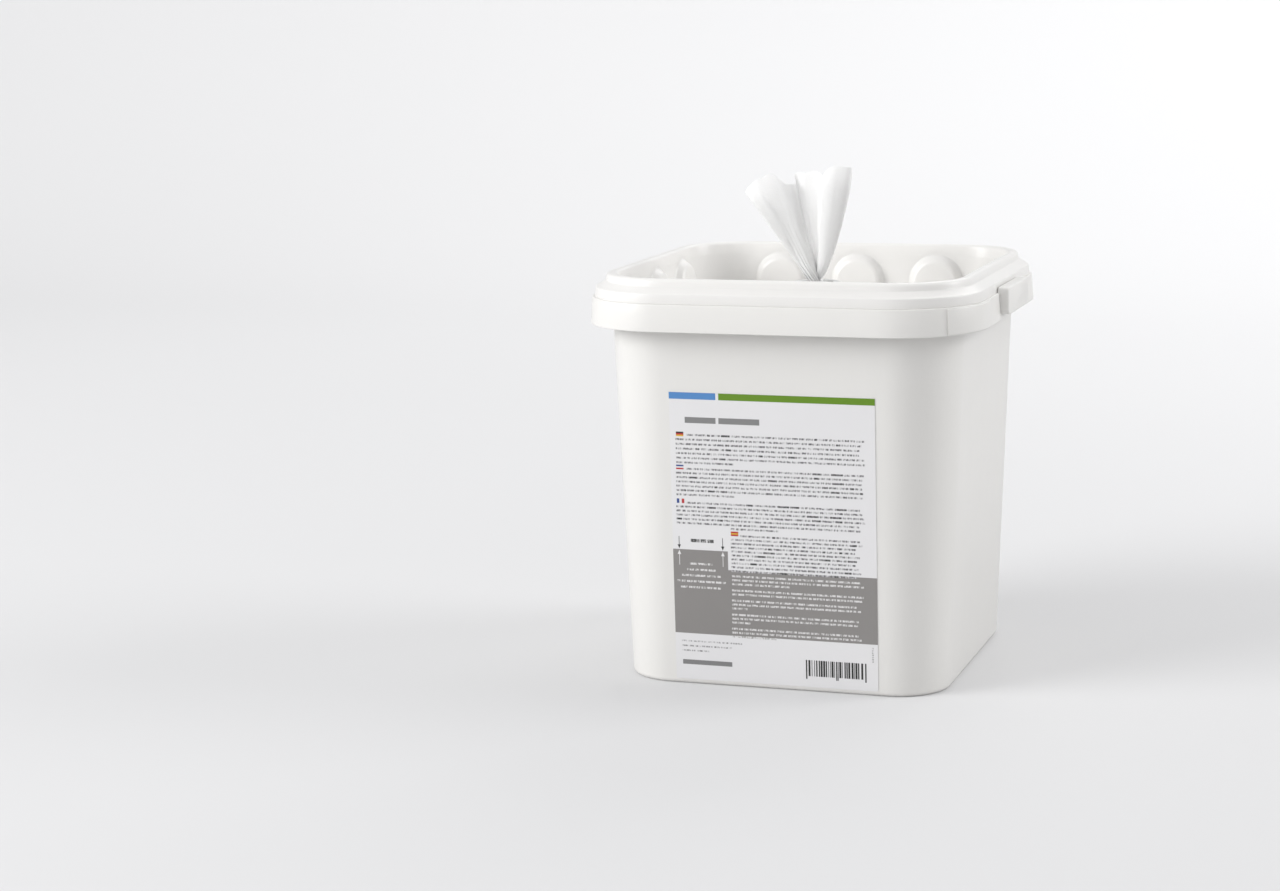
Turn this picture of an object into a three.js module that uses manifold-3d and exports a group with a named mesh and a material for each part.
// Wipes canister: a square bucket with a lift-off lid, a soft dispensing insert in the lid's
// raised port, a centre-feed roll, and the first wipe drawn up through the insert.
// Millimetres, +Z up, the label faces -Y, and the origin is at the middle of the foot.

import * as THREE from 'three';
import { mergeVertices } from 'three/addons/utils/BufferGeometryUtils.js';
import Module from 'manifold-3d';

const wasm = await Module();
wasm.setup();

// Bucket
const bucketHeight = 202.1; // foot to the top of the rim bead
const footHalf = 83.05; // half width of the wall just above the foot
const wallHalf = 90.7; // half width of the wall where it meets the collar
const cornerAxis = 56.5; // each corner turns about an axis this far from both middle planes
const bucketWall = 1.5;
const floorThick = 2;
const footRing = 10; // width of the ring that the bucket stands on
const footRecess = 2; // height of the floor's underside inside that ring
const footRound = 2.5;

// Collar and rim
const collarHeight = 13.7;
const collarHalf = 101.6; // half width at the collar's lower edge
const collarDraft = 1; // the collar narrows by this towards its top
const collarWall = 1.5;
const collarEdge = 0.8;
const rimHeight = 6.7; // collar top to rim top
const rimHalf = 93;
const rimWidth = 3.5;
const beadHeight = 3.7;
const beadRound = 1.3;

// Moulded ears on the two sides, and the tear-off tab at the front right corner
const earLength = 52;
const earHeight = 13.5;
const earReach = 4.9; // how far an ear stands out from the collar's top edge
const earAboveCollar = 2.6;
const earRound = 3.5;
const tabProud = 0.6;
const tabInset = 0.6; // the tab stops this far from the collar's edges
const tabReach = 8.5; // length of the tab along the right side, past the corner's arc
const breakWidth = 1;
const breakDepth = 0.5;

// Lid
const lidWall = 1.3;
const rimGap = 0.3; // clearance between the lid and the bucket's rim and collar
const plugGap = 0.6; // clearance between the recess wall and the inside of the bucket
const plugDraft = 0.9;
const recessDepth = 29.1;
const recessRound = 3;
const lipHeight = 4.7; // stacking lip above the rim's channel
const lipWidth = 4.6;
const shoulderDrop = 4; // height of the sloping shoulder outside the lip
const skirtHalf = 99.3;

// Hollow arches that stiffen the recess wall
const archesPerSide = 3;
const archPitch = 43.5;
const archWidth = 29;
const archBelowTop = 6; // distance of an arch's crown below the lid's top
const archDepth = 5;
const archBevel = 2.4;

// Raised port and its soft insert
const portRise = 17; // above the recess floor
const portBase = 24;
const portTop = 14;
const portHole = 9;
const insertFlange = 12.2;
const insertFlangeThick = 1;
const insertGap = 0.3;
const insertClip = 1.5; // the clip ring stands out this far below the port's hole
const insertDepth = 2.6;
const slitCount = 8;
const slitWidth = 0.6;

// Roll and pulled wipe
const rollSideGap = 5.5;
const rollHeadroom = 12.4; // from the roll to the lid's underside
const rollCore = 25;
const rollTurns = 10;
const turnDepth = 1.2;
const restGap = 0.3;
const wipeNeck = 4.7;
const wipeGap = 0.4; // clearance between the wipe's neck and the insert
const tailRadius = 6;
const tailLength = 70;
const leafRise = 61; // from the port's top to the highest leaf's tip
const leafBow = 3; // a leaf's middle stands this far off the straight line to its tip
const leafStep = 5; // the other leaves stop this far below it
const leftReach = 29;
const leftWidth = 30;
const leftDepth = 13;
const backReach = 6;
const backWidth = 17;
const backDepth = 9;
const rightReach = 14;
const rightWidth = 17;
const rightDepth = 11;

// Label
const labelWidth = 105;
const labelHeight = 148;
const labelLift = 2.6;
const labelThick = 0.3;
const labelGap = 0.3;

// Heights that follow from the sizes above
const collarTop = bucketHeight - rimHeight;
const collarBottom = collarTop - collarHeight;
const collarTopHalf = collarHalf - collarDraft;
const ledgeUnder = collarTop - collarWall;
const rimNeck = wallHalf + collarWall / 8;
const rimInner = rimHalf - rimWidth;
const floorTop = footRecess + floorThick;
const channelTop = bucketHeight + rimGap;
const lidTop = channelTop + lipHeight;
const recessZ = lidTop - recessDepth;
const floorUnder = recessZ - lidWall;
const plugTop = wallHalf - bucketWall - plugGap;
const plugLow = plugTop - plugDraft;
const portZ = recessZ + portRise;

// Facets
const cornerSteps = 8;
const roundSteps = 40;

// Points of an arc in the plane of a profile, angles in degrees
function arc(reach, height, radius, from, to, steps = 3) {
  const points = [];
  for (let step = 0; step <= steps; step += 1) {
    const angle = THREE.MathUtils.degToRad(from + (to - from) * step / steps);
    points.push([reach + radius * Math.cos(angle), height + radius * Math.sin(angle)]);
  }
  return points;
}

function latheOf(profile, steps) {
  const points = profile.map(([reach, height]) => new THREE.Vector2(reach, height));
  return new THREE.LatheGeometry(points, steps);
}

// A profile turned about the Z axis
function turned(profile, steps = roundSteps) {
  return toSolid(latheOf(profile, steps).rotateX(Math.PI / 2));
}

// A profile of half widths and heights led round a square with rounded corners
function turnedSquare(profile) {
  const cornerPoints = cornerSteps + 1;
  const geometry = latheOf(profile, 4 * cornerPoints);
  const place = geometry.attributes.position;
  for (let index = 0; index < place.count; index += 1) {
    const [half, height] = profile[index % profile.length];
    const step = Math.floor(index / profile.length) % (4 * cornerPoints);
    const corner = Math.floor(step / cornerPoints);
    const turn = (corner + (step % cornerPoints) / cornerSteps) * Math.PI / 2;
    const middle = (corner + 0.5) * Math.PI / 2;
    const radius = half - cornerAxis;
    const x = half > 0 ? cornerAxis * Math.SQRT2 * Math.cos(middle) + radius * Math.cos(turn) : 0;
    const y = half > 0 ? cornerAxis * Math.SQRT2 * Math.sin(middle) + radius * Math.sin(turn) : 0;
    place.setXYZ(index, x, y, height);
  }
  return toSolid(geometry);
}

// A closed geometry as a solid that can be joined and cut
function toSolid(geometry) {
  geometry.deleteAttribute('normal');
  geometry.deleteAttribute('uv');
  const merged = mergeVertices(geometry, 0.0001);
  const corners = merged.index.array;
  const triangles = [];
  for (let at = 0; at < corners.length; at += 3) {
    const [a, b, c] = corners.slice(at, at + 3);
    if (a !== b && b !== c && c !== a) {
      triangles.push(a, b, c);
    }
  }
  return new wasm.Manifold(new wasm.Mesh({
    numProp: 3,
    vertProperties: merged.attributes.position.array,
    triVerts: new Uint32Array(triangles),
  }));
}

function toGeometry(solid) {
  const mesh = solid.getMesh();
  const geometry = new THREE.BufferGeometry();
  geometry.setAttribute('position', new THREE.BufferAttribute(mesh.vertProperties, 3));
  geometry.setIndex(new THREE.BufferAttribute(mesh.triVerts, 1));
  geometry.computeVertexNormals();
  return geometry;
}

// Outline of a flat shape with round corners, centred on its own middle
function roundedPlate(width, height, radius) {
  const plate = new THREE.Shape();
  const x = width / 2 - radius;
  const y = height / 2 - radius;
  plate.absarc(x, -y, radius, -Math.PI / 2, 0);
  plate.absarc(x, y, radius, 0, Math.PI / 2);
  plate.absarc(-x, y, radius, Math.PI / 2, Math.PI);
  plate.absarc(-x, -y, radius, Math.PI, 1.5 * Math.PI);
  return plate;
}

function bucketProfile() {
  const innerLow = footHalf - bucketWall;
  const collarInner = collarHalf - collarWall;
  const beadUnder = bucketHeight - beadHeight;
  return [
    [0, footRecess],
    [footHalf - footRing - footRecess, footRecess],
    [footHalf - footRing, 0],
    ...arc(footHalf - footRound, footRound, footRound, -90, 0),
    [wallHalf, ledgeUnder],
    [collarInner - collarDraft, ledgeUnder],
    [collarInner, collarBottom],
    [collarHalf - collarEdge / 2, collarBottom],
    [collarHalf, collarBottom + collarEdge / 2],
    ...arc(collarTopHalf - collarEdge, collarTop - collarEdge, collarEdge, 0, 90, 2),
    [rimNeck + collarEdge, collarTop],
    [rimNeck, collarTop + collarEdge],
    [rimNeck, beadUnder],
    [rimHalf, beadUnder + rimHalf - rimNeck - collarEdge],
    ...arc(rimHalf - beadRound, bucketHeight - beadRound, beadRound, 0, 90, 2),
    [rimInner, bucketHeight],
    [wallHalf - bucketWall, ledgeUnder],
    ...arc(innerLow - footRound, floorTop + footRound, footRound, 0, -90, 2),
    [0, floorTop],
  ];
}

// One ear: a flat block with round corners, standing off the collar's side
function ear(side) {
  const bevel = 0.8;
  const block = new THREE.ExtrudeGeometry(
    roundedPlate(earLength - 2 * bevel, earHeight - 2 * bevel, earRound - bevel),
    {
      depth: earReach + collarEdge - 2 * bevel,
      bevelSize: bevel,
      bevelThickness: bevel,
      bevelSegments: 1,
      curveSegments: 4,
    },
  );
  block.rotateX(Math.PI / 2);
  block.rotateZ(Math.PI / 2);
  const middle = collarTop + earAboveCollar - earHeight / 2;
  block.translate(collarTopHalf - collarEdge + bevel, 0, middle);
  const solid = toSolid(block);
  return side > 0 ? solid : solid.mirror([1, 0, 0]);
}

// A wall-like wedge seen from above, from mid-corner round to the right side's straight run
function tabWedge(reach, from, to) {
  const plan = new THREE.Shape();
  plan.moveTo(cornerAxis, -cornerAxis);
  plan.lineTo(cornerAxis + reach * Math.cos(from), -cornerAxis + reach * Math.sin(from));
  plan.lineTo(cornerAxis + reach, -cornerAxis + reach * Math.sin(from / 2));
  plan.lineTo(cornerAxis + reach, -cornerAxis + to);
  plan.lineTo(cornerAxis, -cornerAxis + to);
  const slab = new THREE.ExtrudeGeometry(plan, { depth: collarHeight * 2, bevelEnabled: false });
  slab.translate(0, 0, collarBottom - collarHeight / 2);
  return toSolid(slab);
}

// The collar's outside moved out by an offset, as a filled block between two heights
function collarBlock(offset, low, high) {
  const lowHalf = collarHalf + offset - (low - collarBottom) * collarDraft / collarHeight;
  const highHalf = collarHalf + offset - (high - collarBottom) * collarDraft / collarHeight;
  return turnedSquare([[0, low], [lowHalf, low], [highHalf, high], [0, high]]);
}

function tearTab() {
  const reach = 2 * (collarHalf - cornerAxis);
  const low = collarBottom + tabInset;
  const high = collarTop - tabInset;
  const outer = collarBlock(tabProud, low, high).intersect(tabWedge(reach, -Math.PI / 4, tabReach));
  return outer.subtract(collarBlock(-collarWall / 2, collarBottom, collarTop));
}

// The thin lines beside the tab where it tears away
function breakLines() {
  const reach = 2 * (collarHalf - cornerAxis);
  const ring = collarBlock(2 * tabProud, collarBottom, collarTop)
    .subtract(collarBlock(-breakDepth, collarBottom - 1, collarTop + 1));
  const wide = tabWedge(reach, -Math.PI / 4 - breakWidth / (collarHalf - cornerAxis), tabReach + breakWidth);
  return ring.intersect(wide).subtract(tabWedge(reach, -Math.PI / 4, tabReach));
}

function makeBucket() {
  return turnedSquare(bucketProfile())
    .subtract(breakLines())
    .add(tearTab())
    .add(ear(1))
    .add(ear(-1));
}

function lidProfile() {
  const skirtBottom = collarTop + rimGap;
  const lipOuter = plugTop + lipWidth;
  const channelOuter = rimHalf + 2 * rimGap;
  const shoulderZ = channelTop + lidWall / 2;
  const skirtTop = shoulderZ - shoulderDrop;
  return [
    [0, floorUnder],
    ...arc(plugLow - recessRound, floorUnder + recessRound, recessRound, -90, 0),
    [plugTop, bucketHeight - beadRound],
    [rimInner - rimGap, channelTop],
    [rimHalf - beadRound + rimGap, channelTop],
    [channelOuter, channelTop - beadRound + rimGap],
    [skirtHalf - lidWall - 1, skirtTop],
    [skirtHalf - lidWall, skirtBottom],
    [skirtHalf, skirtBottom],
    [skirtHalf - 0.3, skirtTop + 0.4],
    [skirtHalf - lidWall, skirtTop + lidWall],
    [lipOuter + lidWall, shoulderZ - 0.6],
    [lipOuter + 0.2, shoulderZ + 0.4],
    ...arc(plugTop + lipWidth / 2, lidTop - lipWidth / 2, lipWidth / 2, 0, 180, 6),
    [plugTop - lidWall, bucketHeight - beadRound],
    ...arc(plugLow - lidWall - recessRound, recessZ + recessRound, recessRound, 0, -90),
    [0, recessZ],
  ];
}

// An arch with a round crown, standing on the line y = 0
function archShape(width, crown) {
  const shape = new THREE.Shape();
  shape.moveTo(width / 2, 0);
  shape.absarc(0, crown - width / 2, width / 2, 0, Math.PI);
  shape.lineTo(-width / 2, 0);
  return shape;
}

// One arch set upright, its flat face looking inwards from the front wall
function archBlock(width, low, crown, outside, inside, bevel) {
  const shape = archShape(width - 2 * bevel, crown - low - bevel);
  const block = new THREE.ExtrudeGeometry(shape, {
    depth: outside - inside - 2 * bevel,
    bevelEnabled: bevel > 0,
    bevelSize: bevel,
    bevelThickness: bevel,
    bevelSegments: 1,
    curveSegments: 8,
  });
  block.rotateX(Math.PI / 2);
  block.translate(0, -inside - bevel, low);
  return toSolid(block);
}

// The same solid at each arch's place on all four sides
function onEverySide(solid) {
  const copies = [];
  for (let side = 0; side < 4; side += 1) {
    for (let place = 0; place < archesPerSide; place += 1) {
      const along = (place - (archesPerSide - 1) / 2) * archPitch;
      copies.push(solid.translate([along, 0, 0]).rotate([0, 0, 90 * side]));
    }
  }
  return wasm.Manifold.union(copies);
}

function makePort() {
  const under = portZ - lidWall;
  return turned([
    [portHole, under],
    [portTop - lidWall, under],
    [portBase - lidWall, floorUnder],
    [portBase + lidWall, floorUnder],
    [portBase + lidWall, recessZ],
    [portBase, recessZ],
    [portTop, portZ - lidWall],
    [portTop - lidWall, portZ],
    [portHole, portZ],
    [portHole, under],
  ]);
}

function makeLid() {
  const crown = lidTop - archBelowTop;
  const inside = plugTop - lidWall - archDepth;
  const plug = turnedSquare([
    [0, floorUnder],
    [plugLow, floorUnder],
    [plugTop, bucketHeight - beadRound],
    [0, bucketHeight - beadRound],
  ]);
  const arch = archBlock(archWidth, floorUnder, crown, plugTop + archBevel, inside, archBevel);
  const pocket = archBlock(
    archWidth - 2 * lidWall,
    floorUnder - lidWall,
    crown - lidWall,
    plugTop + rimGap,
    inside + lidWall,
    0,
  );
  const opening = turned([
    [0, floorUnder - 1],
    [portBase, floorUnder - 1],
    [portBase, recessZ + 1],
    [0, recessZ + 1],
  ]);
  return turnedSquare(lidProfile())
    .add(onEverySide(arch).intersect(plug))
    .subtract(onEverySide(pocket))
    .subtract(opening)
    .add(makePort());
}

// A soft ring that clips into the port, with flaps between its slits
function makeInsert() {
  const sleeve = portHole - insertGap;
  const hole = wipeNeck + wipeGap;
  const under = portZ - lidWall - insertGap;
  const seat = portZ + insertGap;
  const body = turned([
    [hole, portZ - insertDepth],
    [sleeve - 0.5, portZ - insertDepth - 1],
    [portHole + insertClip, under - 0.8],
    [portHole + insertClip, under],
    [sleeve, under],
    [sleeve, seat],
    [insertFlange, seat],
    [insertFlange - 0.4, seat + insertFlangeThick],
    [sleeve, seat + insertFlangeThick],
    [sleeve - 1, portZ - 0.9],
    [hole, portZ - 1.3],
    [hole, portZ - insertDepth],
  ], 32);
  const slits = [];
  for (let slit = 0; slit < slitCount; slit += 1) {
    const length = sleeve - 1.2 - hole / 2;
    const cut = new THREE.BoxGeometry(length, slitWidth, 4 * insertDepth);
    cut.translate(hole / 2 + length / 2, 0, portZ - insertDepth);
    cut.rotateZ((slit + 0.5) * 2 * Math.PI / slitCount);
    slits.push(toSolid(cut));
  }
  return body.subtract(wasm.Manifold.union(slits));
}

// The roll, with the edges of its turns as ridges on its top
function makeRoll() {
  const low = floorTop + restGap;
  const top = floorUnder - rollHeadroom;
  const outer = footHalf - bucketWall - rollSideGap;
  const pitch = (outer - rollCore) / rollTurns;
  const profile = [[rollCore, low], [outer, low]];
  for (let turn = 0; turn < rollTurns; turn += 1) {
    profile.push([outer - turn * pitch, top - turnDepth]);
    profile.push([outer - (turn + 0.5) * pitch, top]);
  }
  profile.push([rollCore, top - turnDepth], [rollCore, low]);
  return turned(profile);
}

// A gathered leaf of cloth: a flattened tube that widens from the neck and closes in a round tip
function leaf(tip, bow, width, depth) {
  const fullAt = 0.8; // share of the length where the leaf is widest
  const rings = 12;
  const root = new THREE.Vector3(0, 0, portZ);
  const knee = new THREE.Vector3(bow[0], bow[1], portZ + (tip[2] - portZ) / 2);
  const path = new THREE.QuadraticBezierCurve3(root, knee, new THREE.Vector3(...tip));
  const profile = [];
  for (let ring = 0; ring <= rings; ring += 1) {
    profile.push([ring === 0 || ring === rings ? 0 : 1, ring]);
  }
  const geometry = latheOf(profile, 16);
  const place = geometry.attributes.position;
  for (let index = 0; index < place.count; index += 1) {
    const ring = Math.round(place.getY(index));
    const along = Math.sin(ring / rings * Math.PI / 2);
    const spread = THREE.MathUtils.smootherstep(along, 0, fullAt);
    const past = Math.max(0, (along - fullAt) / (1 - fullAt));
    const close = Math.sqrt(Math.max(0, 1 - past * past));
    const halfWidth = THREE.MathUtils.lerp(wipeNeck / 2, width / 2, spread) * close;
    const halfDepth = THREE.MathUtils.lerp(wipeNeck / 2, depth / 2, spread) * close;
    const centre = path.getPoint(along);
    const x = centre.x + halfWidth * place.getZ(index);
    const y = centre.y + halfDepth * place.getX(index);
    place.setXYZ(index, x, y, centre.z);
  }
  return toSolid(geometry);
}

function makeWipe() {
  const tailBottom = portZ - tailLength;
  const grip = insertDepth + 2; // length of the pinched neck below the port's top
  const tail = turned([
    [0, tailBottom],
    [tailRadius - 1, tailBottom],
    [tailRadius, tailBottom + 1],
    [tailRadius, portZ - 4 * grip],
    [wipeNeck, portZ - grip],
    [wipeNeck, portZ + insertFlangeThick],
    [wipeNeck - 1, portZ + grip],
    [0, portZ + grip],
  ], 20);
  return tail
    .add(leaf([-leftReach, 0, portZ + leafRise - leafStep], [-leftReach / 2, -leafBow], leftWidth, leftDepth))
    .add(leaf([-backReach, backReach, portZ + leafRise - leafStep], [-backReach, backReach], backWidth, backDepth))
    .add(leaf([rightReach, 0, portZ + leafRise], [rightReach - leafBow, 0], rightWidth, rightDepth));
}

function meshOf(name, solid, color, roughness) {
  const material = new THREE.MeshStandardMaterial({ color, roughness, metalness: 0 });
  const mesh = new THREE.Mesh(toGeometry(solid), material);
  mesh.name = name;
  return mesh;
}

// The label lies on the sloping front wall
function makeLabel() {
  const plate = new THREE.ExtrudeGeometry(roundedPlate(labelWidth, labelHeight, 1), {
    depth: labelThick,
    bevelEnabled: false,
    curveSegments: 2,
  });
  const slope = Math.atan2(wallHalf - footHalf, ledgeUnder - footRound);
  const mesh = meshOf('label', toSolid(plate), 0xdedde0, 0.45);
  const middle = labelLift + labelHeight / 2 * Math.cos(slope);
  const wallThere = footHalf + (middle - footRound) * Math.tan(slope);
  mesh.rotation.x = Math.PI / 2 + slope;
  mesh.position.set(0, -wallThere - labelGap / Math.cos(slope), middle);
  return mesh;
}

const base = new THREE.Group();
base.add(meshOf('bucket', makeBucket(), 0xe8e6e3, 0.35));
base.add(makeLabel());
base.add(meshOf('wipes_roll', makeRoll(), 0xecebe8, 0.95));

const lidGroup = new THREE.Group();
lidGroup.add(meshOf('lid', makeLid(), 0xe9e7e4, 0.35));
lidGroup.add(meshOf('dispensing_insert', makeInsert(), 0xd8d8d8, 0.6));
lidGroup.add(meshOf('pulled_wipe', makeWipe(), 0xf0efec, 0.95));

const canister = new THREE.Group();
canister.add(base, lidGroup);

export default canister;
